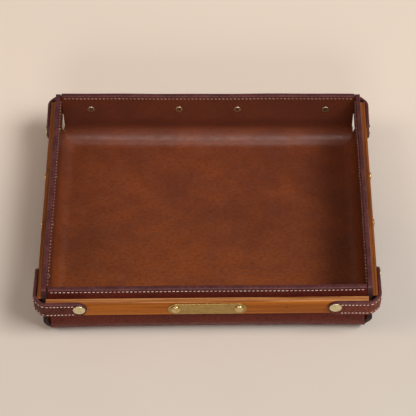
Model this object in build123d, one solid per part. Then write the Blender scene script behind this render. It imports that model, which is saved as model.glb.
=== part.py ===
from build123d import *

import os
from math import cos, radians, sin

# A leather valet tray: two plies of leather turned up into four walls, a wooden
# rail riveted along each wall, and a leather strap round each corner.
# Millimetres, +Z up, origin at the centre of the underside. The front faces -Y.

# Tray body
tray_width = 333.4
tray_depth = 266.0
tray_height = 76.2
leather_ply = 2.5
bend_radius = 17.8
bend_ease = 0.8
flap_corner_radius = 3.2
slit_gap = 0.35
slit_bottom_width = 3.8
slit_bottom_height = 17.9
slit_taper_height = 50.0

# Wooden rails
rail_thickness = 6.35
rail_height = 19.0
rail_below_rim = 15.0
rail_edge_radius = 0.7
end_rail_setback = 3.7
side_rail_setback = 0.4

# Corner straps
strap_width = 18.6
strap_thickness = 3.2
strap_tip_past_rivet = 7.8
strap_flat_past_rivet = 8.4
strap_bow = 1.0
strap_corner_cut = 8.0
strap_turn_radius = 8.0
strap_lift_radius = 60.0

# Rivets
rivet_shank_radius = 1.6
rivet_hole_clearance = 0.3
rivet_roll_radius = 3.6
rivet_roll_bore_radius = 1.5
rivet_roll_height = 1.1
disc_radius = 6.4
disc_height = 1.3
disc_edge_height = 0.8
dome_radius = 4.2
dome_height = 2.2
dome_edge_height = 0.4
strap_rivet_from_rail_end = 33.5
rail_rivet_spacing = 64.4

# Nameplate
plate_length = 80.0
plate_width = 17.2
plate_thickness = 1.0
plate_edge_chamfer = 0.25

# Sewing thread
thread_width = 0.8
thread_height = 0.45
thread_web_height = 0.15
thread_seat = 0.03
stitch_ramp = 0.5
stitch_gap = 0.9
rim_stitch_pitch = 4.233
rim_stitch_below_top = 3.7
rim_stitch_end_margin = 4.2
strap_stitch_pitch = 3.65
strap_stitch_from_edge = 2.1
strap_stitch_from_rivet = 6.2

# One overrun for every cut that passes right through
overrun = 2.0

# Places worked out from the sizes above
half_width = tray_width / 2
half_depth = tray_depth / 2
wall = 2 * leather_ply
flap_edge = half_width - wall
rail_centre_height = tray_height - rail_below_rim - rail_height / 2
rivet_hole_radius = rivet_shank_radius + rivet_hole_clearance

# Each wall is built as the front wall and then turned about Z by its angle
wall_angles = {"front": 0, "right": 90, "back": 180, "left": 270}
end_walls = ("front", "back")
corner_flips = {
    "front_right": (1, 1),
    "front_left": (-1, 1),
    "back_right": (1, -1),
    "back_left": (-1, -1),
}


def wall_reach(side):
    return half_depth if side in end_walls else half_width


def rail_half_length(side):
    if side in end_walls:
        return half_width - end_rail_setback
    return half_depth - side_rail_setback


def strap_rivet_place(side):
    return rail_half_length(side) - strap_rivet_from_rail_end


def turned(side, shape):
    return Rot(0, 0, wall_angles[side]) * shape


def flipped(corner, shape):
    """Carry a shape from the front right corner to another corner"""
    flip_x, flip_y = corner_flips[corner]
    if flip_x < 0:
        shape = mirror(shape, about=Plane.YZ)
    if flip_y < 0:
        shape = mirror(shape, about=Plane.XZ)
    return shape


def cylinder_along_y(radius, x, z, y_from, y_to):
    """A round bar along Y between two places"""
    bar = Cylinder(radius, abs(y_to - y_from))
    return Pos(x, (y_from + y_to) / 2, z) * Rot(90, 0, 0) * bar


def rivet_holes(side):
    """Every hole that the rivets of one wall need, through all that they join"""
    reach = wall_reach(side)
    far = reach + rail_thickness + strap_thickness + overrun
    near = reach - wall - overrun
    holes = []
    for place in (rail_rivet_spacing / 2, strap_rivet_place(side)):
        for x in (-place, place):
            holes.append(cylinder_along_y(rivet_hole_radius, x, rail_centre_height, -far, -near))
    return holes


def rounded_block(half_span, half_run, inset, radius, top):
    """A block along Y whose two lower long edges carry the bend of the leather"""
    height = top - inset
    block = Pos(0, 0, inset + height / 2) * Box(2 * half_span, 2 * half_run, height)
    lower_edges = block.edges().filter_by(Axis.Y).group_by(Axis.Z)[0]
    return fillet(lower_edges, radius)


def pan(inset, radius, top):
    """The space inside the tray at one depth of leather, its bends mitred at the corners"""
    across = rounded_block(half_width - inset, half_depth, inset, radius, top)
    along = rounded_block(half_depth - inset, half_width, inset, radius, top)
    return across & (Rot(0, 0, 90) * along)


def side_flap_ends(inset, radius, top):
    """The side walls beside the edges of the front and back walls, out to their faces"""
    across = rounded_block(half_width - inset, half_depth, inset, radius, top)
    along = rounded_block(half_depth, half_width, 0, bend_radius, top)
    middle = Pos(0, 0, top / 2) * Box(2 * flap_edge, 2 * (half_depth + overrun), top + 2 * overrun)
    return across & (Rot(0, 0, 90) * along) - middle


def cup(inset, radius, top):
    """The space inside the outer ply, open at the ends of the side walls"""
    return pan(inset, radius, top) + side_flap_ends(inset, radius, top)


def corner_slit():
    """The slit between the front wall and the right wall, wider towards the bend"""
    outline = Polyline(
        (flap_edge, slit_bottom_height),
        (flap_edge - slit_bottom_width, slit_bottom_height),
        (flap_edge - slit_gap, slit_taper_height),
        (flap_edge - slit_gap, tray_height + overrun),
        (flap_edge, tray_height + overrun),
        close=True,
    )
    face = make_face(Plane.XZ * outline)
    slit = extrude(face, wall + 2 * overrun)
    return Pos(0, overrun + wall - half_depth, 0) * slit


def corner_rounding(half_length, past_end, reach):
    """What is cut from the two upper corners of a wall"""
    radius = flap_corner_radius
    depth = wall + 2 * overrun
    length = radius + past_end
    height = radius + overrun
    cutters = []
    for direction in (-1, 1):
        x = direction * (half_length - radius)
        block = Pos(x + direction * length / 2, 0, height / 2) * Box(length, depth, height)
        block -= Pos(x, 0, 0) * Rot(90, 0, 0) * Cylinder(radius, depth)
        cutters.append(Pos(0, -reach + wall / 2, tray_height - radius) * block)
    return cutters


def leather_cuts():
    """Slits, rounded corners and rivet holes, cut through both plies alike"""
    cuts = [flipped(corner, corner_slit()) for corner in corner_flips]
    for side in wall_angles:
        cuts += [turned(side, hole) for hole in rivet_holes(side)]
        if side in end_walls:
            cutters = corner_rounding(flap_edge - slit_gap, slit_gap, half_depth)
        else:
            cutters = corner_rounding(half_depth, overrun, half_width)
        cuts += [turned(side, cutter) for cutter in cutters]
    return cuts


def outer_leather():
    shell = pan(0, bend_radius, tray_height)
    shell -= cup(leather_ply, bend_radius - leather_ply, tray_height + overrun)
    return shell - leather_cuts()


def inner_leather():
    shell = cup(leather_ply, bend_radius - leather_ply + bend_ease, tray_height)
    shell -= pan(wall, bend_radius - wall, tray_height + overrun)
    return shell - leather_cuts()


def rail(side):
    """A wooden bar on the outside of a wall, its long edges eased"""
    reach = wall_reach(side)
    bar = Box(2 * rail_half_length(side), rail_thickness, rail_height)
    bar = fillet(bar.edges(), rail_edge_radius)
    bar = Pos(0, -reach - rail_thickness / 2, rail_centre_height) * bar
    return turned(side, bar - rivet_holes(side))


def strap_inner_path():
    """The face of the front right strap that lies on the rails, seen from above"""
    side_face = half_width + rail_thickness
    front_face = -half_depth - rail_thickness
    front_rivet = strap_rivet_place("front")
    side_rivet = strap_rivet_place("right")
    return FilletPolyline(
        (front_rivet - strap_tip_past_rivet, front_face),
        (front_rivet + strap_flat_past_rivet, front_face),
        (side_face + strap_bow - strap_corner_cut, front_face - strap_bow),
        (side_face + strap_bow, front_face - strap_bow + strap_corner_cut),
        (side_face, -side_rivet - strap_flat_past_rivet),
        (side_face, -side_rivet + strap_tip_past_rivet),
        radius=[strap_lift_radius, strap_turn_radius, strap_turn_radius, strap_lift_radius],
    )


def strap_outer_path():
    """The outer face of the same strap, seen from above"""
    return strap_inner_path().offset_2d(strap_thickness, side=Side.RIGHT, closed=False)


def tip_cutter():
    """What is cut from a strap end at -X to leave it half round"""
    radius = strap_width / 2
    depth = 2 * (strap_thickness + overrun)
    block = Pos(-(radius + overrun) / 2, 0, 0) * Box(radius + overrun, depth, strap_width + 2 * overrun)
    block -= Rot(90, 0, 0) * Cylinder(radius, depth)
    return Pos(strap_width / 2 - strap_tip_past_rivet, 0, 0) * block


def nearest_end(path, point):
    ends = (path.position_at(0), path.position_at(1))
    return min(ends, key=lambda end: (end - point).length)


def corner_strap(corner):
    """A leather band bent round a corner, its half-round ends lying on two rails"""
    inner = strap_inner_path()
    outer = strap_outer_path()
    end_caps = [
        Line(inner.position_at(0), nearest_end(outer, inner.position_at(0))),
        Line(inner.position_at(1), nearest_end(outer, inner.position_at(1))),
    ]
    face = make_face(inner.edges() + outer.edges() + end_caps)
    band = extrude(face, strap_width)
    band = Pos(0, 0, rail_centre_height - strap_width / 2) * band
    front_tip = Pos(strap_rivet_place("front"), -half_depth - rail_thickness, rail_centre_height)
    side_tip = Pos(half_width + rail_thickness, -strap_rivet_place("right"), rail_centre_height)
    band -= front_tip * tip_cutter()
    band -= side_tip * Rot(0, 0, -90) * tip_cutter()
    for side in ("front", "right"):
        band -= [turned(side, hole) for hole in rivet_holes(side)]
    return flipped(corner, band)


def rivet(grip, head_radius, head_height, head_edge_height):
    """A rivet through the given grip, seated at Z zero, its rolled end below"""
    crown = head_height - head_edge_height
    roll_middle = (rivet_roll_radius + rivet_roll_bore_radius) / 2
    head_top = ThreePointArc(
        (0, head_height),
        (head_radius / 2, head_height - crown / 4),
        (head_radius, head_edge_height),
    )
    body = Polyline(
        (head_radius, head_edge_height),
        (head_radius, 0),
        (rivet_shank_radius, 0),
        (rivet_shank_radius, -grip),
        (rivet_roll_radius, -grip),
    )
    roll = ThreePointArc(
        (rivet_roll_radius, -grip),
        (roll_middle, -grip - rivet_roll_height),
        (rivet_roll_bore_radius, -grip),
    )
    axis_side = Polyline((rivet_roll_bore_radius, -grip), (0, -grip), (0, head_height))
    face = make_face(Plane.XZ * (head_top + body + roll + axis_side))
    return revolve(face, Axis.Z)


def rivet_pair(side, place, seat, head):
    """Two rivets of a wall, their heads seated the given height above the leather"""
    rivets = []
    for x in (-place, place):
        seated = Pos(x, -wall_reach(side) - seat, rail_centre_height) * Rot(90, 0, 0)
        rivets.append(turned(side, seated * rivet(wall + seat, *head)))
    return rivets


def nameplate():
    """A round-ended plate on the front rail, with a hole for each of its rivets"""
    plate = extrude(SlotOverall(plate_length, plate_width), plate_thickness)
    plate = chamfer(plate.edges().group_by(Axis.Z)[-1], plate_edge_chamfer)
    plate = Pos(0, -half_depth - rail_thickness, rail_centre_height) * Rot(90, 0, 0) * plate
    return plate - rivet_holes("front")


def stitched_outline(stitches, pitch, locate):
    """The outline of a row of stitches, with locate(along, height) placing its points"""
    crest = []
    for index in range(stitches):
        start = index * pitch + stitch_gap / 2
        end = (index + 1) * pitch - stitch_gap / 2
        crest.append(locate(start, thread_web_height))
        crest.append(locate(start + stitch_ramp, thread_height))
        crest.append(locate((start + end) / 2, thread_height))
        crest.append(locate(end - stitch_ramp, thread_height))
        crest.append(locate(end, thread_web_height))
    base = []
    for index in range(stitches):
        start = index * pitch + stitch_gap / 2
        end = (index + 1) * pitch - stitch_gap / 2
        for along in (start, (start + end) / 2, end):
            base.append(locate(along, 0))
    return Polyline(*crest, *reversed(base), close=True)


def rim_thread(side):
    """The row sewn below the rim of a wall, with its stitches outside and inside"""
    other_reach = half_width if side in end_walls else half_depth
    half_length = other_reach - wall - rim_stitch_end_margin
    stitches = int(2 * half_length / rim_stitch_pitch)
    first = -stitches * rim_stitch_pitch / 2
    row_height = tray_height - rim_stitch_below_top - thread_width / 2
    rows = []
    for face_place, outward in ((wall_reach(side), 1), (wall_reach(side) - wall, -1)):
        outline = stitched_outline(
            stitches,
            rim_stitch_pitch,
            lambda along, height: (first + along, -face_place - outward * (thread_seat + height)),
        )
        row = extrude(make_face(outline), thread_width, dir=(0, 0, 1))
        rows.append(turned(side, Pos(0, 0, row_height) * row))
    return rows


def strap_thread(corner):
    """The two rows sewn along a strap, a little inside its edges"""
    path = strap_outer_path()
    end_skip = strap_tip_past_rivet + strap_stitch_from_rivet
    stitches = int((path.length - 2 * end_skip) / strap_stitch_pitch)
    first = (path.length - stitches * strap_stitch_pitch) / 2
    tray_middle = Vector(0, 0, 0)

    def locate(along, height):
        point = path.position_at(first + along, position_mode=PositionMode.LENGTH)
        tangent = path.tangent_at(first + along, position_mode=PositionMode.LENGTH)
        outward = tangent.cross(Vector(0, 0, 1))
        if outward.dot(point - tray_middle) < 0:
            outward = -outward
        return point + outward * (thread_seat + height)

    outline = stitched_outline(stitches, strap_stitch_pitch, locate)
    rows = []
    row_offset = strap_width / 2 - strap_stitch_from_edge
    for height in (rail_centre_height - row_offset, rail_centre_height + row_offset):
        row = extrude(make_face(outline), thread_width, dir=(0, 0, 1))
        rows.append(flipped(corner, Pos(0, 0, height - thread_width / 2) * row))
    return rows


def build_parts():
    disc = (disc_radius, disc_height, disc_edge_height)
    dome = (dome_radius, dome_height, dome_edge_height)
    strap_seat = rail_thickness + strap_thickness
    plate_seat = rail_thickness + plate_thickness
    rail_place = rail_rivet_spacing / 2
    parts = {"outer_leather": [outer_leather()], "inner_leather": [inner_leather()]}
    strap_rivets = []
    rail_rivets = []
    for side in wall_angles:
        parts[side + "_rail"] = [rail(side)]
        parts[side + "_rim_thread"] = rim_thread(side)
        strap_rivets += rivet_pair(side, strap_rivet_place(side), strap_seat, disc)
        if side != "front":
            rail_rivets += rivet_pair(side, rail_place, rail_thickness, dome)
    for corner in corner_flips:
        parts[corner + "_strap"] = [corner_strap(corner)]
        parts[corner + "_strap_thread"] = strap_thread(corner)
    parts["nameplate"] = [nameplate()]
    parts["nameplate_rivets"] = rivet_pair("front", rail_place, plate_seat, dome)
    parts["strap_rivets"] = strap_rivets
    parts["rail_rivets"] = rail_rivets
    return parts


os.makedirs("parts", exist_ok=True)
for node, solids in build_parts().items():
    shape = solids[0] if len(solids) == 1 else Compound(solids)
    export_step(shape, "parts/" + node + ".step")
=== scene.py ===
import math
import random

import bmesh
import bpy
from mathutils import Euler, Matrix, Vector


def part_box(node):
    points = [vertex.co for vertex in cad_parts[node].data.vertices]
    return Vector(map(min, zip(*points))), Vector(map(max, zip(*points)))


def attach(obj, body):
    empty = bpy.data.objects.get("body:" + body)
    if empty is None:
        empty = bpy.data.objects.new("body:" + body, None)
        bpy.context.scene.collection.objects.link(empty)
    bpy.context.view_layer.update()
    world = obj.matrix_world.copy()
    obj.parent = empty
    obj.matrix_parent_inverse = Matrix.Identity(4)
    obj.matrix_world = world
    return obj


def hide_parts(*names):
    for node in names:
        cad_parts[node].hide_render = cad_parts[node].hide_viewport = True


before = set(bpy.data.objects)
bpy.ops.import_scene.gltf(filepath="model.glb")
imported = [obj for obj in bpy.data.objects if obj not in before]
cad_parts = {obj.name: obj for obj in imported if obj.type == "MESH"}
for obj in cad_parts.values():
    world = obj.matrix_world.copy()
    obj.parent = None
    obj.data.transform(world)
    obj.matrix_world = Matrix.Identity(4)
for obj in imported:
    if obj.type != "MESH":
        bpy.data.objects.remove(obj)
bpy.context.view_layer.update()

# A leather valet tray in the frame of its CAD model, in metres
mm = 0.001
quarter_turn = math.radians(90)


def per_wall(end_value, side_value):
    """One value for the front and back walls and one for the side walls"""
    return {"front": end_value, "right": side_value, "back": end_value, "left": side_value}


# Tray body, its reach and plies read from the frame
half_width, half_depth, rim_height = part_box("outer_leather")[1]
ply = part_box("inner_leather")[0][2]
wall = 2 * ply
flap_edge = half_width - wall
reach_of = per_wall(half_depth, half_width)
along_of = per_wall(half_width, half_depth)
bend_height = 22 * mm
bend_reach = 16.7 * mm
wall_fullness = 2.3 * mm
foot_draw = 2 * mm
slit_gap = 1.1 * mm
slit_gap_at_rim = 0.35 * mm
flap_foot_widening = 1.4 * mm
flap_foot_height = 19 * mm
flap_foot_fade = 2 * mm
side_end_setback = 1.2 * mm
side_foot_setback = {"right": 7 * mm, "left": 4.4 * mm}
side_setback_power = 1.1
depth_skew_share = 0.009
flap_corner_radius = 3.2 * mm
rim_rounding = 1.3 * mm
ply_seam = 0.04 * mm
weld_distance = 0.002 * mm

# Unevenness by hand: waves along a wall, in radians a metre, and how far they go at the rim
phase_step = 1.7
slow_wave = 24
quick_wave = 77
lift_wave = 31
slow_lean = 0.22 * mm
quick_lean = 0.08 * mm
slow_lift = 0.2 * mm
quick_lift = 0.07 * mm

# Rails, read from the frame
front_rail_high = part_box("front_rail")[1]
right_rail_low, right_rail_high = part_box("right_rail")
rail_thickness = right_rail_high[0] - right_rail_low[0]
rail_centre_height = (right_rail_low[2] + right_rail_high[2]) / 2
rail_top = right_rail_high[2]
rail_foot = right_rail_low[2]
rail_half_length = per_wall(front_rail_high[0], right_rail_high[1])
rail_fullness = 0.7 * mm
rail_arris = 0.8 * mm

# Corner straps
strap_width = 20.2 * mm
strap_lift = {"front_right": 0.9 * mm, "front_left": 2.2 * mm, "back_right": 0.6 * mm, "back_left": 0.6 * mm}
strap_thickness = 3.2 * mm
strap_tip_past_rivet = 7.8 * mm
strap_flat_past_rivet = 8.4 * mm
strap_bow = 0.4 * mm
strap_corner_cut = 8 * mm
strap_turn_radius = 8 * mm
strap_lift_radius = 60 * mm
strap_rounding = 1 * mm
strap_crown = 0.15 * mm
strap_groove_width = 0.5 * mm
strap_groove_depth = 0.12 * mm
strap_crown_from_groove = 1.5 * mm
path_step = 0.5 * mm

# Nameplate
plate_length = 80 * mm
plate_width = 17.2 * mm
plate_thickness = 1 * mm
plate_bevel = 0.45 * mm
plate_bevel_power = 1.5

# Rivets
disc_radius = 6.3 * mm
disc_height = 1.2 * mm
disc_edge_height = 0.8 * mm
rivet_lift = {"front": 3.7 * mm, "right": 2 * mm, "back": 3.6 * mm, "left": 2 * mm}
dome_radius = 4.7 * mm
dome_height = 2.2 * mm
dome_edge_height = 0.4 * mm
roll_radius = 4 * mm
roll_dish_radius = 3 * mm
roll_height = 0.55 * mm
roll_dish_height = 0.16 * mm
crown_drop_share = 0.25
strap_rivet_from_rail_end = 33.5 * mm
rail_rivet_place = 32.2 * mm

# Stitches, with the thread seen inside a wall thicker and prouder on the side walls
thread_radius = 0.4 * mm
thread_radius_inside = per_wall(0.36 * mm, 0.5 * mm)
stitch_rise = 0.2 * mm
stitch_rise_inside = per_wall(0.3 * mm, 0.9 * mm)
stitch_rise_outside = per_wall(0.2 * mm, -0.15 * mm)
stitch_dip = 0.3 * mm
stitch_slant = 0.12 * mm
stitch_slant_inside = 0.4 * mm
stitch_arch_power = 0.6
stitch_end_share = 0.35
stitch_length_play = 0.06 * mm
stitch_height_play = 0.05 * mm
strap_stitch_sink = 0.1 * mm
rim_stitch_pitch = 4.233 * mm
rim_stitch_gap = 1.1 * mm
rim_stitch_gap_inside = per_wall(rim_stitch_gap, 2.1 * mm)
rim_stitch_below_top = 3.7 * mm
rim_stitch_end_margin = 2.9 * mm
strap_stitch_pitch = 3.65 * mm
strap_stitch_gap = 0.9 * mm
strap_stitch_from_edge = 3.3 * mm
strap_stitch_from_rivet = 4.2 * mm
rim_row_height = rim_height - rim_stitch_below_top
strap_row_offset = strap_width / 2 - strap_stitch_from_edge
rim_groove_width = 0.7 * mm
rim_hole_radius = 0.5 * mm
strap_mark_width = 0.6 * mm
strap_hole_radius = 0.4 * mm
hole_core_share = 0.4

# Mesh fineness, in counts
arc_steps = 10
wall_steps = 12
long_steps = 90
short_steps = 72
rounding_steps = 6
rail_steps = 30
turn_steps = 40
roll_dish_steps = 8
roll_ring_steps = 5
crown_steps = 8
ease_steps = 4
dome_steps = 9
plate_run_steps = 30
plate_end_steps = 20
strap_run_steps = 70
strap_end_steps = 14
band_flat_rows = 3
stitch_steps = 8
thread_sides = 6

# Places of the materials in a piece's list, after the first: on plies and straps, rails and rivets
painted_slot = 1
cut_slot = 2
end_grain_slot = 1
tarnish_and_shade_slot = 1
rolled_slot = 2

# Angles between two faces above which their edge stays sharp
sharp_angle_of_sheets = math.radians(35)
sharp_angle_of_rivets = math.radians(50)

sides = ("front", "right", "back", "left")
end_walls = ("front", "back")
corners = {"front_right": (1, 1), "front_left": (-1, 1), "back_right": (1, -1), "back_left": (-1, -1)}

# Camera fitted to the photograph, and the ground
image_width = 416
focal_pixels = 1770.07
centre_x = 207.89
centre_y = 211.2
sensor_width = 36
camera_azimuth = math.radians(-0.9)
camera_elevation = math.radians(51.3)
camera_roll = math.radians(-0.95)
camera_distance = 1.8915
aim_height = 35 * mm
ground_reach = 3.0

# Lamps: azimuth and elevation in degrees, distance, width and height, share of full light, tint
lamps = {
    "key": (60, 52, 6.4, 3.2, 2.5, 0.59, (0.98, 0.99, 1.0)),
    "left_fill": (-72, 50, 6.4, 2.4, 2.4, 0.15, (1.0, 0.84, 0.72)),
    "front_card": (0, 27, 7.2, 3.4, 1.7, 0.115, (1.0, 0.94, 0.92)),
    "top_strip": (0, 80, 6.4, 3.0, 0.9, 0.03, (1.0, 1.0, 1.0)),
}
room_tint = (1.0, 0.86, 0.76, 1.0)
room_strength = 0.11

# Colours, as red, green and blue out of 255
saddle_dark = (109, 50, 22)
saddle_light = (129, 61, 24)
saddle_worn_and_sheen = (144, 70, 23)
saddle_patch = (96, 41, 22)
saddle_fleck = (84, 36, 20)
# Darker tone of the inner walls: painted shade
saddle_wall_shade = (84, 36, 23)
saddle_groove = (84, 34, 26)
saddle_hole_shade = (30, 12, 9)
pebble_valley_shade = (30, 10, 8)
pebbled_crease = (38, 14, 11)
pebbled_groove = (48, 18, 15)
pebbled_hole_shade = (16, 6, 5)
wood_pore = (66, 33, 15)
wood_fleck = (70, 34, 16)
thread_shadow = (120, 76, 66)
ground_pale = (222, 211, 199)
ground_deep = (215, 204, 192)
ground_back_painted_light = (243, 226, 209)

# Dark, light and foot colours of the pebbled leathers, and how creased they are; the foot colour is painted
# light bounced from the pale ground, and the left straps are a darker copy of the right ones as painted shade
body_creasing = 0.25
strap_creasing = 0.6
burgundy_tones = ((76, 22, 16), (91, 29, 20), (110, 47, 31))
# The left straps are a darker copy of the right ones: painted shade
left_strap_shade_tones = ((80, 29, 20), (97, 38, 27), (88, 34, 24))
right_strap_tones = ((104, 46, 34), (124, 58, 44), (114, 52, 38))

# Dark, light, rubbed and foot colours of the painted edges, and their shine; the cut ends are a darker copy,
# darkest at the foot, as painted shade
edge_specular = 0.32
cut_end_specular = 0.12
edge_tones = ((84, 43, 44), (102, 56, 55), (60, 29, 31), (84, 43, 44))
cut_end_shade_tones = ((70, 42, 43), (82, 50, 49), (52, 29, 30), (34, 16, 12))

# Dark and light colours of the woods' faces, then of their upper faces, which are paler as painted sheen; the
# front and back rails are brighter than the side rails, and the left rail paler than the right, as painted
# light
# The front and back rails: a brighter copy of the side rails' wood, painted light
end_rail_tones = ((145, 77, 14), (188, 108, 25), (130, 72, 34), (198, 136, 84))
right_rail_tones = ((112, 56, 22), (150, 80, 32), (112, 58, 24), (160, 92, 44))
# The left rail: a paler copy of the right rail's wood, painted light against its shade
left_rail_painted_light_tones = ((130, 68, 32), (168, 94, 48), (130, 70, 36), (178, 108, 60))
# End grain: dark from oil, and darker still as painted shade under the straps
end_grain_and_shade_tones = ((52, 26, 14), (34, 16, 9))

# Clean and worn colours of brass, and its lowest and highest roughness
brasses = {
    "plate_brass": ((178, 148, 90), (160, 128, 74), 0.3, 0.4),
    "rivet_brass": ((226, 216, 176), (196, 180, 126), 0.24, 0.36),
    "dome_brass": ((214, 190, 134), (184, 156, 102), 0.24, 0.34),
    "tarnish_and_shade_brass": ((148, 126, 88), (112, 92, 62), 0.42, 0.56),
    "rolled_brass": ((236, 226, 192), (196, 178, 136), 0.26, 0.38),
}

# Clean and worn colours of the thread, outside and inside, the inside one a darker copy as painted shade
threads_of = {
    "waxed_thread": ((248, 222, 206), (206, 162, 148)),
    "waxed_thread_in_shade": ((214, 164, 148), (168, 116, 104)),
}

# Where the inner leather is lighter and golden in front and how far, partly wear and partly painted sheen,
# and how that area and the grain are drawn out
worn_and_sheen_centre = (-10 * mm, -90 * mm, 0)
worn_and_sheen_from = 30 * mm
worn_and_sheen_to = 130 * mm
worn_and_sheen_stretch = (0.4, 1, 1)
grain_stretch = (0.6, 1, 1)

# Heights over which the inner walls and the cut ends darken as painted shade, and places over which the
# ground turns paler as painted light
wall_shade_from = 14 * mm
wall_shade_to = 32 * mm
cut_end_shade_from = 24 * mm
ground_pale_from = -100 * mm
ground_pale_to = 250 * mm

# Depths of relief in the finishes
saddle_cloud_depth = 1.6 * mm
saddle_swell_depth = 0.25 * mm
saddle_grain_depth = 0.06 * mm
pebbled_cloud_depth = 0.8 * mm
pebble_depth = 0.2 * mm
sewn_mark_depth = 0.2 * mm
paint_depth = 0.2 * mm
end_grain_depth = 0.1 * mm
wood_grain_depth = 0.08 * mm
wood_pore_depth = 0.1 * mm
dent_depth = 0.12 * mm
brush_depth = 0.03 * mm
twist_depth = 0.12 * mm
ground_depth = 0.2 * mm

# Shares of a sewn groove's colour, and of pores and warp in the relief of the leathers
saddle_groove_share = 0.45
pebbled_groove_share = 0.35
pore_share = 0.5
warp_share = 0.6

# How brushed brass is drawn out, how tightly thread is twisted, and the roughness of plain finishes
brush_stretch = (120, 2400, 2400)
twist_scale = 900
end_grain_roughness = 0.7
ground_roughness = 0.8


def strap_centre(corner):
    """The height of the middle of a strap"""
    return rail_centre_height + strap_lift[corner]


def strap_rivet_place(side):
    return rail_half_length[side] - strap_rivet_from_rail_end


def place(side, along, out, up):
    """A point in the frame, from its place along a wall, outwards from the middle and up"""
    x, y = {
        "front": (along, -out),
        "right": (out, along),
        "back": (-along, out),
        "left": (-out, -along),
    }[side]
    return Vector((x, y, up))


def unevenness(side, along, up):
    """How far a wall leans out and stands up by hand: at its rim, and drawn in at the foot of an end wall"""
    fade = max(0.0, (up - rail_top) / (rim_height - rail_top))
    phase = sides.index(side) * phase_step
    slow = math.sin(along * slow_wave + phase)
    quick = math.sin(along * quick_wave + 2 * phase)
    lean = (slow_lean * slow + quick_lean * quick) * fade
    if side in end_walls and up < bend_height:
        lean -= foot_draw * math.sin(math.pi * up / bend_height) * (1 - (along / half_width) ** 2)
    return lean, (slow_lift * math.cos(along * lift_wave + phase) + quick_lift * quick) * fade


def skewed(point):
    """The point as the hand-made tray has it, a little deeper on its left than on its right"""
    x, y, up = point
    return x, y * (1 - depth_skew_share * x / half_width), up


class Shape:
    """The points and faces of one piece, and for sewn leather each point's place in its own layout"""

    def __init__(self):
        self.points = []
        self.layout = []
        self.faces = []
        self.slots = []

    def add_point(self, point, layout=(0, 0, 0)):
        self.points.append(skewed(point))
        self.layout.append(tuple(layout))

    def add_rows(self, rows, slot=0, closed=False, layouts=None):
        """Rows of equally many points, joined by four-sided faces"""
        first = len(self.points)
        width = len(rows[0])
        for number, row in enumerate(rows):
            for column, point in enumerate(row):
                self.add_point(point, layouts[number][column] if layouts else (0, 0, 0))
        for row in range(len(rows) - 1):
            for column in range(width if closed else width - 1):
                near = first + row * width + column
                beside = first + row * width + (column + 1) % width
                self.faces.append((near, beside, beside + width, near + width))
                self.slots.append(slot(row, column) if callable(slot) else slot)

    def add_face(self, points, slot=0):
        first = len(self.points)
        for point in points:
            self.add_point(point)
        self.faces.append(tuple(range(first, first + len(points))))
        self.slots.append(slot)

    def finish(self, name, materials, nodes, finish_slot, sharp_angle=sharp_angle_of_sheets):
        """The piece itself, welded, riding on the tray and standing for its CAD nodes"""
        mesh = bpy.data.meshes.new(name)
        mesh.from_pydata(self.points, [], self.faces)
        for material in materials:
            mesh.materials.append(material)
        mesh.polygons.foreach_set("material_index", self.slots)
        layout = mesh.attributes.new("layout", "FLOAT_VECTOR", "POINT")
        layout.data.foreach_set("vector", [value for row in self.layout for value in row])
        edit = bmesh.new()
        edit.from_mesh(mesh)
        bmesh.ops.remove_doubles(edit, verts=edit.verts, dist=weld_distance)
        bmesh.ops.recalc_face_normals(edit, faces=edit.faces)
        edit.to_mesh(mesh)
        edit.free()
        mesh.shade_smooth()
        mesh.set_sharp_from_angle(angle=sharp_angle)
        piece = bpy.data.objects.new(name, mesh)
        bpy.context.scene.collection.objects.link(piece)
        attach(piece, "root")
        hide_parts(*nodes)


def spread(low, high, steps):
    """Even places from end to end"""
    return [low + (high - low) * step / steps for step in range(steps + 1)]


# Leather body

def wall_profile(depth, rounding):
    """Insets and heights up a wall, at a depth below its outer face, drawn in by a rounding at the rim"""
    profile = []
    level_radius = bend_reach + wall_fullness - depth
    upright_radius = bend_height - depth
    for step in range(arc_steps + 1):
        turn = quarter_turn * (1 - step / arc_steps)
        inset = bend_reach - level_radius * math.cos(turn)
        profile.append((inset, bend_height - upright_radius * math.sin(turn)))
    plain_top = rim_height - flap_corner_radius
    heights = spread(bend_height, plain_top, wall_steps)[1:]
    heights.append((plain_top + rim_height - rim_rounding) / 2)
    for step in range(rounding_steps + 1):
        heights.append(rim_height - rim_rounding * (1 - math.sin(quarter_turn * step / rounding_steps)))
    for height in heights:
        rise = min(1.0, (height - bend_height) / (rail_foot - bend_height))
        full = wall_fullness * (1 + math.cos(math.pi * rise)) / 2
        into_rounding = max(0.0, height - rim_height + rim_rounding)
        drawn_in = rim_rounding - math.sqrt(max(0.0, rim_rounding**2 - into_rounding**2))
        profile.append((depth - full + rounding * drawn_in, height))
    return profile


def faded(value, low, high):
    """0 up to a low value, 1 from a high one, and even between"""
    return min(1.0, max(0.0, (value - low) / (high - low)))


def flap_limit(inset, height, rounding):
    """Half the length of an end wall, cut straight beside its slit and wider at its foot"""
    gap = slit_gap + (slit_gap_at_rim - slit_gap) * faded(height, rail_foot, rim_height)
    widening = flap_foot_widening * (1 - faded(height, flap_foot_height, flap_foot_height + flap_foot_fade))
    return min(flap_edge - gap + widening - rounding, half_width - inset)


def side_limit(inset, height, rounding, foot_setback):
    """How far a side wall reaches from its middle to an end, whose foot is set back"""
    if height < bend_height and inset > wall:
        return half_depth - inset
    below = max(0.0, bend_height - height) / bend_height
    beside = max(0.0, bend_reach - (bend_reach + wall_fullness) * math.sqrt(1 - below**2))
    setback = side_end_setback * (1 - faded(height, rail_foot, rail_top))
    setback += foot_setback * below**side_setback_power
    return half_depth - beside - setback * (1 - beside / wall) - rounding


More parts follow.
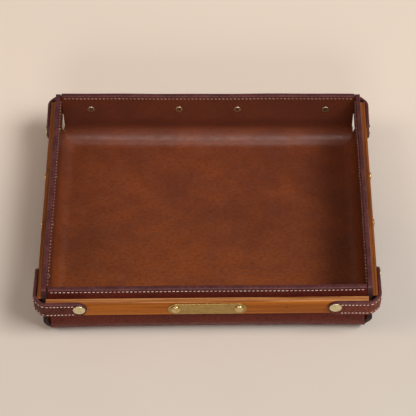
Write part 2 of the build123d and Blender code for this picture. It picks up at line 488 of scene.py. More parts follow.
def wall_ends(side, inset, height):
    """Where a wall starts and stops along its side, where its section has this inset and height"""
    above = max(0.0, height - rim_height + flap_corner_radius)
    rounding = flap_corner_radius - math.sqrt(max(0.0, flap_corner_radius**2 - above**2))
    if side in end_walls:
        limit = flap_limit(inset, height, rounding)
        return -limit, limit
    front = side_limit(inset, height, rounding, side_foot_setback[side])
    back = side_limit(inset, height, rounding, 0)
    return (-front, back) if side == "right" else (-back, front)


def wall_rows(side, profile, steps):
    """The points of one face of a wall, row by row up its profile, with their places in its layout"""
    rows = []
    layouts = []
    for inset, height in profile:
        row = []
        places = spread(*wall_ends(side, inset, height), steps)
        for along in places:
            lean, lift = unevenness(side, along, height)
            row.append(place(side, along, reach_of[side] - inset + lean, height + lift))
        rows.append(row)
        layouts.append([(along, height, 0) for along in places])
    return rows, layouts


def leather_body(name, face_depth, back_depth, node, materials):
    """One ply from its floor through the bends to the rim: its leather, painted rim and cut ends"""
    shape = Shape()
    inwards = 1 if back_depth > face_depth else -1
    profiles = (wall_profile(face_depth, inwards), wall_profile(back_depth, 0))
    flat_rows = spread(bend_reach - half_depth, half_depth - bend_reach, short_steps)
    flat_columns = spread(bend_reach - half_width, half_width - bend_reach, long_steps)
    for depth in (face_depth, back_depth):
        shape.add_rows([[(x, y, depth) for x in flat_columns] for y in flat_rows])
    painted_from = len(profiles[0]) - 1 - rounding_steps
    for side in sides:
        steps = long_steps if side in end_walls else short_steps
        face, layouts = wall_rows(side, profiles[0], steps)
        back = wall_rows(side, profiles[1], steps)[0]
        shape.add_rows(face, lambda row, column: painted_slot if row >= painted_from else 0, layouts=layouts)
        shape.add_rows(back)
        for row in range(len(profiles[0]) - 1):
            if min(profiles[0][row][0], profiles[1][row][0]) > wall + slit_gap:
                continue
            for column in (0, -1):
                outer_points = [face[row][column], face[row + 1][column]]
                inner_points = [back[row + 1][column], back[row][column]]
                shape.add_face(outer_points + inner_points, painted_slot if row >= painted_from else cut_slot)
        shape.add_rows([face[-1], back[-1]], painted_slot)
    shape.finish(name, materials, [node], node)


# Rails

def rail(side, materials):
    """A wooden bar along a wall, with eased arrises and darker cut ends"""
    shape = Shape()
    half_length = rail_half_length[side]
    low = rail_foot - rail_fullness
    high = rail_top + rail_fullness
    near = reach_of[side]
    far = near + rail_thickness
    section = []
    for quarter, (out, up) in enumerate(((far, high), (near, high), (near, low), (far, low))):
        middle_out = out - rail_arris if out == far else out + rail_arris
        middle_up = up - rail_arris if up == high else up + rail_arris
        for step in range(ease_steps + 1):
            turn = quarter_turn * (quarter + step / ease_steps)
            section.append((middle_out + rail_arris * math.cos(turn),
                            middle_up + rail_arris * math.sin(turn)))
    stations = spread(-half_length, half_length, rail_steps)
    rows = [[place(side, along, out, up) for out, up in section] for along in stations]
    shape.add_rows(rows, closed=True)
    for end in (rows[0], rows[-1][::-1]):
        shape.add_face(end, end_grain_slot)
    shape.finish("rail_" + side, materials, [side + "_rail"], "rail_wood")


# Straps and nameplate

def round_ended_ring(length, width, inset, run_steps, end_steps):
    """The outline of a round-ended band, as places along and across, drawn in by an inset"""
    radius = width / 2 - inset
    near = width / 2
    far = length - width / 2
    ring = []
    for start, end, sign in ((near, far, -1), (far, near, 1)):
        ring += [(along, sign * radius) for along in spread(start, end, run_steps)[:-1]]
        for step in range(end_steps):
            turn = math.pi * step / end_steps + sign * math.pi / 2
            ring.append((end + radius * math.cos(turn), radius * math.sin(turn)))
    return ring


def rounded_path(points, radii, step):
    """Points along straight runs whose corners are rounded in small steps"""
    corners_in = [Vector(p) for p in points]
    dense = [corners_in[0]]
    for before, corner, after, radius in zip(corners_in, corners_in[1:], corners_in[2:], radii):
        come = (corner - before).normalized()
        go = (after - corner).normalized()
        turn = come.angle(go)
        run = radius * math.tan(turn / 2)
        side = 1 if come.cross(go) > 0 else -1
        centre = corner - come * run + Vector((-come.y, come.x)) * radius * side
        start = corner - come * run - centre
        pieces = max(2, int(radius * turn / step))
        for index in range(pieces + 1):
            angle = side * turn * index / pieces
            dense.append(centre + Vector((start.x * math.cos(angle) - start.y * math.sin(angle),
                                          start.x * math.sin(angle) + start.y * math.cos(angle))))
    dense.append(corners_in[-1])
    return dense


class Route:
    """A line seen from above that can be asked for its point and outward normal at any length"""

    def __init__(self, points):
        self.points = points
        self.lengths = [0.0]
        for before, after in zip(points, points[1:]):
            self.lengths.append(self.lengths[-1] + (after - before).length)
        self.length = self.lengths[-1]

    def tangent(self, index):
        before = self.points[max(0, index - 1)]
        after = self.points[min(len(self.points) - 1, index + 1)]
        return (after - before).normalized()

    def at(self, length, out, up):
        """The point at a length along the line, moved outwards and up"""
        index = 0
        while index < len(self.points) - 2 and self.lengths[index + 1] < length:
            index += 1
        run = self.lengths[index + 1] - self.lengths[index]
        share = (length - self.lengths[index]) / run
        base = self.points[index].lerp(self.points[index + 1], share)
        tangent = self.tangent(index).lerp(self.tangent(index + 1), share).normalized()
        return Vector((base.x + tangent.y * out, base.y - tangent.x * out, up))


def strap_route():
    """The inner face of the front right strap, seen from above"""
    side_face = half_width + rail_thickness
    front_face = -half_depth - rail_thickness
    front_rivet = strap_rivet_place("front")
    side_rivet = strap_rivet_place("right")
    points = [
        (front_rivet - strap_tip_past_rivet, front_face),
        (front_rivet + strap_flat_past_rivet, front_face),
        (side_face + strap_bow - strap_corner_cut, front_face - strap_bow),
        (side_face + strap_bow, front_face - strap_bow + strap_corner_cut),
        (side_face, -side_rivet - strap_flat_past_rivet),
        (side_face, -side_rivet + strap_tip_past_rivet),
    ]
    radii = [strap_lift_radius, strap_turn_radius, strap_turn_radius, strap_lift_radius]
    return Route(rounded_path(points, radii, path_step))


def flipped(corner, point):
    flip_x, flip_y = corners[corner]
    return Vector((point.x * flip_x, point.y * flip_y, point.z))


def band_profile(thickness, rounding, width, crown, groove):
    """Rows of inset and height for a band's section, from its back round the edge to its middle"""
    rows = [(width / 2, 0), (rounding, 0), (rounding / 2, 0)]
    for step in range(ease_steps + 1):
        turn = quarter_turn * step / ease_steps
        rows.append((rounding / 2 * (1 - math.sin(turn)), rounding / 2 * (1 - math.cos(turn))))
    for step in range(rounding_steps + 1):
        turn = quarter_turn * step / rounding_steps
        rows.append((rounding * (1 - math.cos(turn)), thickness - rounding * (1 - math.sin(turn))))
    row_inset, row_width, row_depth = groove
    crown_inset = row_inset + strap_crown_from_groove
    for inset in (row_inset - row_width, row_inset, row_inset + row_width, crown_inset):
        sunk = row_depth if inset == row_inset else 0
        rows.append((inset, thickness - sunk))
    rows.append((width / 2, thickness + crown))
    return rows


def corner_strap(corner, leather, edge):
    """A leather band bent round a corner, thick at its stitched edges and round at its ends"""
    route = strap_route()
    shape = Shape()
    groove = (strap_stitch_from_edge, strap_groove_width, strap_groove_depth)
    painted = range(1, band_flat_rows + ease_steps + rounding_steps)
    middle = strap_centre(corner)
    rows = []
    layouts = []
    for inset, height in band_profile(strap_thickness, strap_rounding, strap_width, strap_crown, groove):
        ring = round_ended_ring(route.length, strap_width, inset, strap_run_steps, strap_end_steps)
        rows.append([flipped(corner, route.at(along, height, middle + across)) for along, across in ring])
        layouts.append([(along, across, 0) for along, across in ring])
    shape.add_rows(rows, lambda row, column: painted_slot if row in painted else 0, True, layouts)
    shape.finish("strap_" + corner, [leather, edge], [corner + "_strap"], "strap_leather")


def nameplate(brass):
    """A round-ended plate on the front rail with a bevelled edge and nothing on it"""
    shape = Shape()
    profile = [(plate_width / 2, 0), (0, 0), (0, plate_thickness - plate_bevel)]
    for step in range(1, ease_steps + 1):
        share = step / ease_steps
        drop = plate_bevel * (1 - share) ** plate_bevel_power
        profile.append((plate_bevel * share, plate_thickness - drop))
    profile += [(2 * plate_bevel, plate_thickness), (plate_width / 2, plate_thickness)]
    rows = []
    start = -plate_length / 2
    for inset, height in profile:
        ring = round_ended_ring(plate_length, plate_width, inset, plate_run_steps, plate_end_steps)
        out = half_depth + rail_thickness + height
        rows.append([place("front", start + along, out, rail_centre_height + across)
                     for along, across in ring])
    shape.add_rows(rows, closed=True)
    shape.finish("plate_bare", [brass], ["nameplate"], "plate_brass")


# Rivets

def arc_profile(start, crown, end, steps):
    """Points on the parabola through three points of a turned profile"""
    rows = []
    for step in range(steps + 1):
        share = step / steps
        rows.append(tuple(
            (1 - share) * (1 - 2 * share) * a + 4 * share * (1 - share) * b + share * (2 * share - 1) * c
            for a, b, c in zip(start, crown, end)
        ))
    return rows


def head_profile(radius, height, edge_height):
    """A rivet head from its middle to its foot, with an eased rim"""
    ease = edge_height / 2
    crown = height - edge_height
    shoulder = ((radius - ease) / 2, height - crown * crown_drop_share)
    rows = arc_profile((0, height), shoulder, (radius - ease, edge_height), crown_steps)
    for step in range(1, ease_steps + 1):
        turn = quarter_turn * step / ease_steps
        rows.append((radius - ease * (1 - math.sin(turn)), edge_height - ease * (1 - math.cos(turn))))
    return rows + [(radius, 0)]


def dome_profile():
    """A domed rivet head from its middle to its foot"""
    rise = dome_height - dome_edge_height
    rows = []
    for step in range(dome_steps + 1):
        turn = quarter_turn * step / dome_steps
        rows.append((dome_radius * math.sin(turn), dome_edge_height + rise * math.cos(turn)))
    return rows + [(dome_radius, 0)]


def roll_profile():
    """The hammered end of a rivet, from the middle of its shallow dish over its ring to its foot"""
    rows = []
    for step in range(roll_dish_steps + 1):
        share = step / roll_dish_steps
        rise = (1 - math.cos(math.pi * share)) / 2
        rows.append((roll_dish_radius * share, roll_dish_height + (roll_height - roll_dish_height) * rise))
    ring_width = roll_radius - roll_dish_radius
    for step in range(1, roll_ring_steps + 1):
        turn = quarter_turn * step / roll_ring_steps
        rows.append((roll_dish_radius + ring_width * math.sin(turn), roll_height * math.cos(turn)))
    return rows


def add_turned(shape, profile, side, along, centre_height, seat, outward, slot=0):
    """A turned profile standing on a wall, with its axis level and its seat at a given reach"""
    rows = []
    for radius, height in profile:
        row = []
        for step in range(turn_steps):
            turn = 2 * math.pi * step / turn_steps
            row.append(place(side, along + radius * math.cos(turn), seat + outward * height,
                             centre_height + radius * math.sin(turn)))
        rows.append(row)
    shape.add_rows(rows, slot, closed=True)


def rivets(name, where, head, seat_above_wall, lifts, node, materials):
    """The rivets of one kind: heads outside, rolled ends on the inner leather, tarnished in their hollows and
    in darker brass on the side walls as painted shade
    """
    shape = Shape()
    for side, along in where:
        centre_height = rail_centre_height + lifts[side]
        # On the side walls the whole rolled end is the darker brass: painted shade
        ring = rolled_slot if side in end_walls else tarnish_and_shade_slot
        add_turned(shape, head, side, along, centre_height, reach_of[side] + seat_above_wall, 1)
        add_turned(shape, roll_profile(), side, along, centre_height, reach_of[side] - wall, -1,
                   lambda row, column: tarnish_and_shade_slot if row < roll_dish_steps - 1 else ring)
    shape.finish(name, materials, [node], "rivet_brass", sharp_angle_of_rivets)


# Stitches

def add_stitch(shape, locate, start, end, across, rise, lean, radius, slot):
    """One stitch: thread that rises from its first hole, leans a little and dives into the next"""
    rows = []
    for step in range(stitch_steps + 1):
        share = step / stitch_steps
        along = start + (end - start) * share
        arch = math.sin(math.pi * share) ** stitch_arch_power
        girth = radius * (stitch_end_share + (1 - stitch_end_share) * arch)
        slant = lean * (2 * share - 1)
        row = []
        for corner in range(thread_sides):
            turn = 2 * math.pi * corner / thread_sides
            out = -stitch_dip + (stitch_dip + rise) * arch + girth * math.sin(turn)
            row.append(locate(along, out, across + slant + girth * math.cos(turn)))
        rows.append(row)
    shape.add_rows(rows, slot, closed=True)
    for tip in (rows[0], rows[-1][::-1]):
        shape.add_face(tip, slot)


def stitch_row(shape, locate, first, count, pitch, gap, across, chance, rise, lean, radius, slot=0):
    """A row of stitches, each a little longer, shorter, higher or lower than the next"""
    for index in range(count):
        start = first + index * pitch + gap / 2 + chance.uniform(-1, 1) * stitch_length_play
        end = first + (index + 1) * pitch - gap / 2 + chance.uniform(-1, 1) * stitch_length_play
        height = across + chance.uniform(-1, 1) * stitch_height_play
        add_stitch(shape, locate, start, end, height, rise, lean, radius, slot)


def rim_stitches(side, threads):
    """The row below the rim of a wall, seen outside and inside"""
    half_length = along_of[side] - wall - rim_stitch_end_margin
    count = int(2 * half_length / rim_stitch_pitch)
    first = -count * rim_stitch_pitch / 2
    shape = Shape()
    chance = random.Random("rim " + side)
    outside = (reach_of[side], 1, rim_stitch_gap, stitch_rise_outside[side], stitch_slant, thread_radius)
    inside = (reach_of[side] - wall, -1, rim_stitch_gap_inside[side], stitch_rise_inside[side],
              stitch_slant_inside, thread_radius_inside[side])
    for slot, (face, outward, gap, rise, slant, radius) in enumerate((outside, inside)):

        def locate(along, out, up):
            lean, lift = unevenness(side, along, up)
            return place(side, along, face + outward * out + lean, up + lift)

        stitch_row(shape, locate, first, count, rim_stitch_pitch, gap, rim_row_height, chance,
                   rise, slant, radius, slot)
    shape.finish("stitches_rim_" + side, threads, [side + "_rim_thread"], "thread")


def strap_stitches(corner, thread):
    """The two rows sewn along a strap"""
    route = strap_route()
    end_skip = strap_tip_past_rivet + strap_stitch_from_rivet
    count = int((route.length - 2 * end_skip) / strap_stitch_pitch)
    first = (route.length - count * strap_stitch_pitch) / 2
    seat = strap_thickness - strap_stitch_sink
    shape = Shape()
    chance = random.Random("strap " + corner)
    for across in (-strap_row_offset, strap_row_offset):

        def locate(along, out, up):
            return flipped(corner, route.at(along, seat + out, strap_centre(corner) + up))

        stitch_row(shape, locate, first, count, strap_stitch_pitch, strap_stitch_gap, across, chance,
                   stitch_rise, stitch_slant, thread_radius)
    shape.finish("stitches_strap_" + corner, [thread], [corner + "_strap_thread"], "thread")


# Materials

class Graph:
    """A material's node tree, with short calls for the nodes that the finishes share"""

    def __init__(self, name, shading):
        self.material = bpy.data.materials.new(name)
        self.material.use_nodes = True
        self.tree = self.material.node_tree
        self.shader = self.tree.nodes["Principled BSDF"]
        self.feed(self.shader, shading)
        self.point = self.place_in_frame()

    def feed(self, node, inputs):
        """Give each named input of a node its constant or its link"""
        for name, value in inputs.items():
            if isinstance(value, bpy.types.NodeSocket):
                self.tree.links.new(value, node.inputs[name])
            else:
                node.inputs[name].default_value = value

    def node(self, kind, inputs, output, **settings):
        """What a new node gives from its inputs"""
        node = self.tree.nodes.new(kind)
        for key, value in settings.items():
            setattr(node, key, value)
        self.feed(node, inputs)
        return node.outputs[output]

    def place_in_frame(self, scale=(1, 1, 1)):
        """The point on the object, each direction multiplied by its own scale"""
        on_object = self.node("ShaderNodeTexCoord", {}, "Object")
        return self.node("ShaderNodeMapping", {"Vector": on_object, "Scale": scale}, "Vector")

    def noise(self, scale=1, detail=3, roughness=0.5, distortion=0, at=None):
        inputs = {"Scale": scale, "Detail": detail, "Roughness": roughness, "Distortion": distortion}
        inputs["Vector"] = self.point if at is None else at
        return self.node("ShaderNodeTexNoise", inputs, "Fac")

    def part(self, vector, axis):
        return self.node("ShaderNodeSeparateXYZ", {"Vector": vector}, axis)

    def height(self):
        """The height above the ground of the point on the object"""
        return self.part(self.point, "Z")

    def cells(self, scale, feature):
        inputs = {"Vector": self.point, "Scale": scale}
        return self.node("ShaderNodeTexVoronoi", inputs, "Distance", feature=feature)

    def math(self, operation, first, second=0):
        return self.node("ShaderNodeMath", {0: first, 1: second}, "Value", operation=operation)

    def spread(self, value, low, high, to_low=0, to_high=1):
        """A value stretched smoothly from one range to another, and kept inside it"""
        inputs = {"Value": value, "From Min": low, "From Max": high, "To Min": to_low, "To Max": to_high}
        return self.node("ShaderNodeMapRange", inputs, "Result", interpolation_type="SMOOTHSTEP")

    def blend(self, share, first, second):
        inputs = {"Factor": share, "A": first, "B": second}
        return self.node("ShaderNodeMix", inputs, "Result", data_type="RGBA")

    def stain(self, tone, rgb, value, low, high, to_low=0, to_high=1):
        """A tone, with a share of another colour that changes where a value goes from low to high"""
        return self.blend(self.spread(value, low, high, to_low, to_high), tone, colour(rgb))

    def bump(self, height, distance, strength, under=None):
        inputs = {"Height": height, "Distance": distance, "Strength": strength}
        if under is not None:
            inputs["Normal"] = under
        return self.node("ShaderNodeBump", inputs, "Normal")

    def finish(self, tone, roughness, normal):
        self.feed(self.shader, {"Base Color": tone, "Roughness": roughness, "Normal": normal})
        return self.material


def colour(rgb):
    """An sRGB colour in 0 to 255 as Blender's linear colour"""
    shares = [value / 255 for value in rgb]
    linear = [share / 12.92 if share <= 0.04045 else ((share + 0.055) / 1.055) ** 2.4 for share in shares]
    return linear + [1.0]


def sewn(graph, tone, sewing, groove_share, groove_rgb, hole_rgb):
    """A leather's tone with a sewn groove and its needle holes, the holes dark as painted shade, and how deep
    these are at a point
    """
    row, pitch, phase, groove_width, hole_radius = sewing
    layout = graph.node("ShaderNodeAttribute", {}, "Vector", attribute_name="layout")
    from_row = graph.math("SUBTRACT", graph.math("ABSOLUTE", graph.part(layout, "Y")), row)
    across = graph.math("ABSOLUTE", from_row)
    along = graph.math("PINGPONG", graph.math("SUBTRACT", graph.part(layout, "X"), phase), pitch / 2)
    groove = graph.spread(across, low=0, high=groove_width, to_low=1, to_high=0)
    squares = [graph.math("MULTIPLY", offset, offset) for offset in (across, along)]
    reach = graph.math("SQRT", graph.math("ADD", *squares))
    # Needle holes darkened: painted shade inside them
    hole = graph.spread(reach, hole_radius * hole_core_share, hole_radius, to_low=1, to_high=0)
    tone = graph.blend(graph.math("MULTIPLY", groove, groove_share), tone, colour(groove_rgb))
    return graph.blend(hole, tone, colour(hole_rgb)), graph.math("ADD", groove, hole)


def saddle_leather(name, sewing):
    """Smooth vegetable-tanned leather: mottled dye, golden in front from wear and painted sheen, darker up
    the walls as painted shade, fine grain, a soft waxed shine
    """
    graph = Graph(name, {"Specular IOR Level": 0.6})
    drawn_out = graph.place_in_frame(grain_stretch)
    cloud = graph.noise(scale=14, detail=4, roughness=0.55, distortion=0.6)
    patch = graph.noise(scale=48, detail=5, roughness=0.55, distortion=0.3, at=drawn_out)
    fleck = graph.noise(scale=400, roughness=0.6, at=drawn_out)
    ends = {0: graph.place_in_frame(worn_and_sheen_stretch), 1: worn_and_sheen_centre}
    worn = graph.node("ShaderNodeVectorMath", ends, "Value", operation="DISTANCE")
    tone = graph.stain(colour(saddle_dark), saddle_light, cloud, low=0.34, high=0.66)
    # A lighter golden patch in front: partly wear, partly painted sheen
    tone = graph.stain(tone, saddle_worn_and_sheen, worn, worn_and_sheen_from, worn_and_sheen_to, to_low=0.78, to_high=0)
    tone = graph.stain(tone, saddle_patch, patch, low=0.36, high=0.7, to_high=0.4)
    tone = graph.stain(tone, saddle_fleck, fleck, low=0.4, high=0.7, to_high=0.5)
    # Higher up the walls the saddle leather is darkened: painted shade
    tone = graph.stain(tone, saddle_wall_shade, graph.height(), wall_shade_from, wall_shade_to, to_high=0.5)
    tone, marks = sewn(graph, tone, sewing, saddle_groove_share, saddle_groove, saddle_hole_shade)
    grain = graph.cells(scale=950, feature="F1")
    pores = graph.noise(scale=2100, detail=2, roughness=0.6)
    skin = graph.math("ADD", grain, graph.math("MULTIPLY", pores, pore_share))
    normal = graph.bump(cloud, saddle_cloud_depth, strength=0.35)
    normal = graph.bump(graph.noise(scale=160), saddle_swell_depth, strength=0.4, under=normal)
    normal = graph.bump(skin, saddle_grain_depth, strength=0.5, under=normal)
    normal = graph.bump(marks, -sewn_mark_depth, strength=0.7, under=normal)
    gloss = graph.noise(scale=90, detail=4, roughness=0.6)
    return graph.finish(tone, graph.spread(gloss, low=0.3, high=0.7, to_low=0.38, to_high=0.5), normal)


def pebbled_leather(name, tones, creasing, sewing):
    """Bridle leather with a fine pebble, its valleys darkened as painted shade, in another tone towards its
    foot as painted light bounced from the ground
    """
    dark, light, foot = tones
    graph = Graph(name, {"Specular IOR Level": 0.14})
    warp = graph.noise(scale=300, detail=2)
    pebble = graph.cells(scale=640, feature="SMOOTH_F1")
    cloud = graph.noise(scale=26, detail=4, roughness=0.6, distortion=0.4)
    crease = graph.noise(scale=430, detail=2, roughness=0.55)
    tone = graph.stain(colour(dark), light, cloud, low=0.32, high=0.68)
    # Towards the foot the leather takes the foot colour: painted light bounced from the pale ground
    tone = graph.stain(tone, foot, graph.height(), rail_foot, rail_top, to_low=0.5, to_high=0)
    # The valleys between pebbles are darkened: painted shade
    tone = graph.stain(tone, pebble_valley_shade, pebble, low=0.35, high=0.75, to_high=0.55)
    tone = graph.stain(tone, pebbled_crease, crease, low=0.5, high=0.66, to_high=creasing)
    tone, marks = sewn(graph, tone, sewing, pebbled_groove_share, pebbled_groove, pebbled_hole_shade)
    relief = graph.math("ADD", pebble, graph.math("MULTIPLY", warp, warp_share))
    normal = graph.bump(cloud, pebbled_cloud_depth, strength=0.3)
    normal = graph.bump(relief, -pebble_depth, strength=0.7, under=normal)
    normal = graph.bump(marks, -sewn_mark_depth, strength=0.7, under=normal)
    gloss = graph.noise(scale=140, roughness=0.6)
    return graph.finish(tone, graph.spread(gloss, low=0.3, high=0.7, to_low=0.4, to_high=0.56), normal)


def edge_paint(name, tones, specular):
    """Burnished edge paint, waxy and a little uneven, in another tone towards the foot, which on the cut ends
    is a darker one as painted shade
    """
    dark, light, rubbed, foot = tones
    graph = Graph(name, {"Specular IOR Level": specular})
    cloud = graph.noise(scale=60, detail=4, roughness=0.6)
    rub = graph.noise(scale=560, roughness=0.6)
    tone = graph.stain(colour(dark), light, cloud, low=0.35, high=0.65)
    tone = graph.stain(tone, rubbed, rub, low=0.46, high=0.62, to_high=0.75)
    # Low down the paint turns to the foot colour: painted shade on the cut ends, the dark tone itself on rims
    # and straps
    tone = graph.stain(tone, foot, graph.height(), cut_end_shade_from, rail_top, to_low=0.95, to_high=0)
    normal = graph.bump(graph.noise(scale=380), paint_depth, strength=0.5)
    return graph.finish(tone, graph.spread(rub, low=0.3, high=0.7, to_low=0.38, to_high=0.55), normal)


def end_grain():
    """Dark, dull wood where a rail is cut across, its darkness partly the oiled end grain and partly painted
    shade under the straps
    """
    dark, light = end_grain_and_shade_tones
    graph = Graph("rail_end_grain", {"Specular IOR Level": 0.05})
    tone = graph.blend(graph.noise(scale=900, roughness=0.6), colour(dark), colour(light))
    normal = graph.bump(graph.noise(scale=1400, detail=2), end_grain_depth, strength=0.5)
    return graph.finish(tone, end_grain_roughness, normal)


def wood(name, lengthwise, tones):
    """Oiled straight-grained wood along one direction of the frame, paler on its upper face as painted sheen
    """
    dark, light, sheen_top_dark, sheen_top_light = tones
    graph = Graph(name, {"Specular IOR Level": 0.13})

    def stretched(along, across):
        return graph.place_in_frame([along if axis == lengthwise else across for axis in range(3)])

    def grained(deep, pale, bands):
        return graph.stain(colour(pale), deep, bands, low=0.36, high=0.66)

    sway = graph.noise(detail=2, at=stretched(along=2.5, across=14))
    bands = graph.noise(roughness=0.55, distortion=0.35, at=stretched(along=3.2, across=190))
    streaks = graph.noise(roughness=0.6, distortion=0.3, at=stretched(along=9, across=520))
    fine = graph.noise(roughness=0.6, at=stretched(along=16, across=1100))
    pores = graph.noise(detail=2, at=stretched(along=90, across=1900))
    fleck = graph.noise(detail=2, at=stretched(along=70, across=260))
    facing = graph.node("ShaderNodeNewGeometry", {}, "Normal")
    # Upward faces take a paler tone: painted sheen
    upper = graph.spread(graph.part(facing, "Z"), low=0.6, high=0.9)
    face_tone = graph.stain(grained(dark, light, bands), dark, sway, low=0.35, high=0.7, to_high=0.35)
    tone = graph.blend(upper, face_tone, grained(sheen_top_dark, sheen_top_light, streaks))
    tone = graph.stain(tone, dark, fine, low=0.45, high=0.75, to_high=0.35)
    tone = graph.stain(tone, wood_pore, pores, low=0.6, high=0.72, to_high=0.55)
    tone = graph.stain(tone, wood_fleck, fleck, low=0.7, high=0.78, to_high=0.7)
    normal = graph.bump(fine, wood_grain_depth, strength=0.5)
    normal = graph.bump(pores, -wood_pore_depth, strength=0.5, under=normal)
    return graph.finish(tone, graph.spread(bands, low=0.3, high=0.7, to_low=0.34, to_high=0.48), normal)


def brass(name):
    """Lightly aged brass with a brushed face"""
    clean, worn, low_roughness, high_roughness = brasses[name]
    graph = Graph(name, {"Metallic": 1.0})
    tarnish = graph.noise(scale=240, detail=5, roughness=0.65, distortion=0.4)
    brushed = graph.noise(roughness=0.6, at=graph.place_in_frame(brush_stretch))
    tone = graph.stain(colour(clean), worn, tarnish, low=0.42, high=0.7)
    normal = graph.bump(graph.noise(scale=520), dent_depth, strength=0.4)
    normal = graph.bump(brushed, brush_depth, strength=0.4, under=normal)
    return graph.finish(tone, graph.spread(tarnish, 0.3, 0.7, low_roughness, high_roughness), normal)


def linen_thread(name):
    """Waxed thread with a visible twist"""
    clean, worn = threads_of[name]
    graph = Graph(name, {"Specular IOR Level": 0.4, "Sheen Weight": 0.2})
    wear = graph.noise(scale=130, roughness=0.6)
    inputs = {"Vector": graph.point, "Scale": twist_scale}
    twist = graph.node("ShaderNodeTexWave", inputs, "Fac", wave_type="BANDS", bands_direction="DIAGONAL")
    tone = graph.stain(colour(clean), worn, wear, low=0.3, high=0.7)
    tone = graph.stain(tone, thread_shadow, twist, low=0, high=0.5, to_low=0.4, to_high=0)
    normal = graph.bump(twist, twist_depth, strength=0.6)
    return graph.finish(tone, graph.spread(wear, low=0.3, high=0.7, to_low=0.55, to_high=0.7), normal)


def paper():
    """The plain pale ground, paler behind the tray as painted light"""
    graph = Graph("pale_ground", {"Specular IOR Level": 0.2})
    cloud = graph.noise(scale=5, detail=4, roughness=0.6)
    tone = graph.blend(cloud, colour(ground_pale), colour(ground_deep))
    # Paler towards the back: painted light where the lamps fall off
    tone = graph.stain(tone, ground_back_painted_light, graph.part(graph.point, "Y"), ground_pale_from, ground_pale_to)
    normal = graph.bump(graph.noise(scale=300), ground_depth, strength=0.3)
    return graph.finish(tone, ground_roughness, normal)


# Stage, lights and camera

def softbox(name, azimuth, elevation, distance, width, height, share, tint):
    """A square lamp aimed at the tray that gives a level surface this share of full light"""
    turn = math.radians(azimuth)
    rise = math.radians(elevation)
    direction = Vector((math.sin(turn) * math.cos(rise), -math.cos(turn) * math.cos(rise), math.sin(rise)))
    data = bpy.data.lights.new(name, "AREA")
    data.shape = "RECTANGLE"
    data.size = width
    data.size_y = height
    data.color = tint
    data.energy = math.pi**2 * share * distance**2 / math.sin(rise)
    lamp = bpy.data.objects.new(name, data)
    lamp.location = direction * distance
    lamp.rotation_euler = direction.to_track_quat("Z", "Y").to_euler()
    bpy.context.scene.collection.objects.link(lamp)


def light_the_scene():
    for name, setting in lamps.items():
        softbox(name, *setting)
    world = bpy.data.worlds.new("soft_room")
    world.use_nodes = True
    background = world.node_tree.nodes["Background"]
    background.inputs["Color"].default_value = room_tint
    background.inputs["Strength"].default_value = room_strength
    bpy.context.scene.world = world
    bpy.context.scene.view_settings.view_transform = "Standard"


def ground():
    """A level ground far larger than the view"""
    near, far = -ground_reach, ground_reach
    mesh = bpy.data.meshes.new("ground")
    mesh.from_pydata([(near, near, 0), (far, near, 0), (far, far, 0), (near, far, 0)], [], [(0, 1, 2, 3)])
    mesh.materials.append(paper())
    level = bpy.data.objects.new("ground", mesh)
    bpy.context.scene.collection.objects.link(level)


def camera():
    """The photograph's view: from the front and above, aimed at the middle of the tray"""
    data = bpy.data.cameras.new("camera")
    data.sensor_width = sensor_width
    data.lens = focal_pixels / image_width * sensor_width
    data.shift_x = (image_width / 2 - centre_x) / image_width
    data.shift_y = (centre_y - image_width / 2) / image_width
    seen_from = bpy.data.objects.new("camera", data)
    level_back = Vector((-math.sin(camera_azimuth), -math.cos(camera_azimuth), 0))
    back = level_back * math.cos(camera_elevation) + Vector((0, 0, math.sin(camera_elevation)))
    seen_from.location = Vector((0, 0, aim_height)) + back * camera_distance
    turned = back.to_track_quat("Z", "Y").to_matrix() @ Euler((0, 0, camera_roll)).to_matrix()
    seen_from.rotation_euler = turned.to_euler()
    bpy.context.scene.collection.objects.link(seen_from)
    bpy.context.scene.camera = seen_from


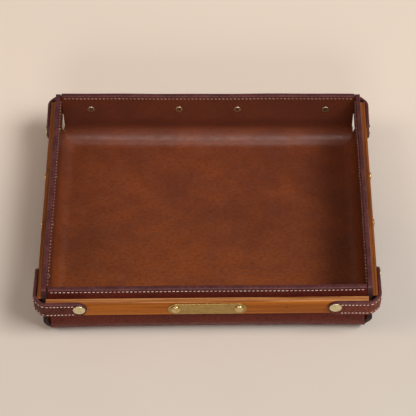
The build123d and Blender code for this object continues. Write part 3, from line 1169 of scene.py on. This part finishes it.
def build_leather():
    """The plies with their rims sewn, and the straps at the corners"""
    rim_sewing = (rim_row_height, rim_stitch_pitch, rim_stitch_pitch / 2, rim_groove_width, rim_hole_radius)
    strap_sewing = (strap_row_offset, strap_stitch_pitch, 0, strap_mark_width, strap_hole_radius)
    inner = saddle_leather("saddle_leather", rim_sewing)
    outer = pebbled_leather("burgundy_leather", burgundy_tones, body_creasing, rim_sewing)
    # Left straps in a darker copy of the strap leather: painted shade
    left_strap = pebbled_leather("strap_leather_left_in_shade", left_strap_shade_tones, strap_creasing, strap_sewing)
    right_strap = pebbled_leather("strap_leather_right", right_strap_tones, strap_creasing, strap_sewing)
    edge = edge_paint("edge_paint", edge_tones, edge_specular)
    # Cut ends in a darker copy of the edge paint: painted shade
    cut_end = edge_paint("cut_end_paint_in_shade", cut_end_shade_tones, cut_end_specular)
    rim_threads = [linen_thread(name) for name in threads_of]
    leather_body("leather_outer_ply", 0, ply - ply_seam, "outer_leather", [outer, edge, cut_end])
    leather_body("leather_inner_ply", wall, ply + ply_seam, "inner_leather", [inner, edge, cut_end])
    for side in sides:
        rim_stitches(side, rim_threads)
    for corner in corners:
        corner_strap(corner, right_strap if corners[corner][0] > 0 else left_strap, edge)
        strap_stitches(corner, rim_threads[0])


def build_metal():
    """The nameplate, and the rivets in their rows"""
    metals = {name: brass(name) for name in brasses}
    nameplate(metals["plate_brass"])
    strap_seat = rail_thickness + strap_thickness
    plate_seat = rail_thickness + plate_thickness
    strap_places = [(side, sign * strap_rivet_place(side)) for side in sides for sign in (-1, 1)]
    rail_places = [(side, sign * rail_rivet_place) for side in ("right", "back", "left") for sign in (-1, 1)]
    plate_places = [("front", sign * rail_rivet_place) for sign in (-1, 1)]
    disc = head_profile(disc_radius, disc_height, disc_edge_height)
    dome = dome_profile()
    inner_ends = [metals["tarnish_and_shade_brass"], metals["rolled_brass"]]
    discs = [metals["rivet_brass"]] + inner_ends
    domes = [metals["dome_brass"]] + inner_ends
    rivets("rivets_strap", strap_places, disc, strap_seat, rivet_lift, "strap_rivets", discs)
    rivets("rivets_rail", rail_places, dome, rail_thickness, rivet_lift, "rail_rivets", domes)
    rivets("rivets_plate", plate_places, dome, plate_seat, {"front": 0}, "nameplate_rivets", domes)


def build_rails():
    """The four wooden rails: the front and back ones brighter than the sides as painted light, and the left
    one paler as painted light against the shade it lies in
    """
    end_wood = wood("rail_wood_ends", 0, end_rail_tones)
    right_wood = wood("rail_wood_sides", 1, right_rail_tones)
    left_wood_painted_light = wood("rail_wood_left_painted_light", 1, left_rail_painted_light_tones)
    cut_wood = end_grain()
    for side, face_wood in zip(sides, (end_wood, right_wood, end_wood, left_wood_painted_light)):
        rail(side, [face_wood, cut_wood])


build_leather()
build_metal()
build_rails()
ground()
light_the_scene()
camera()
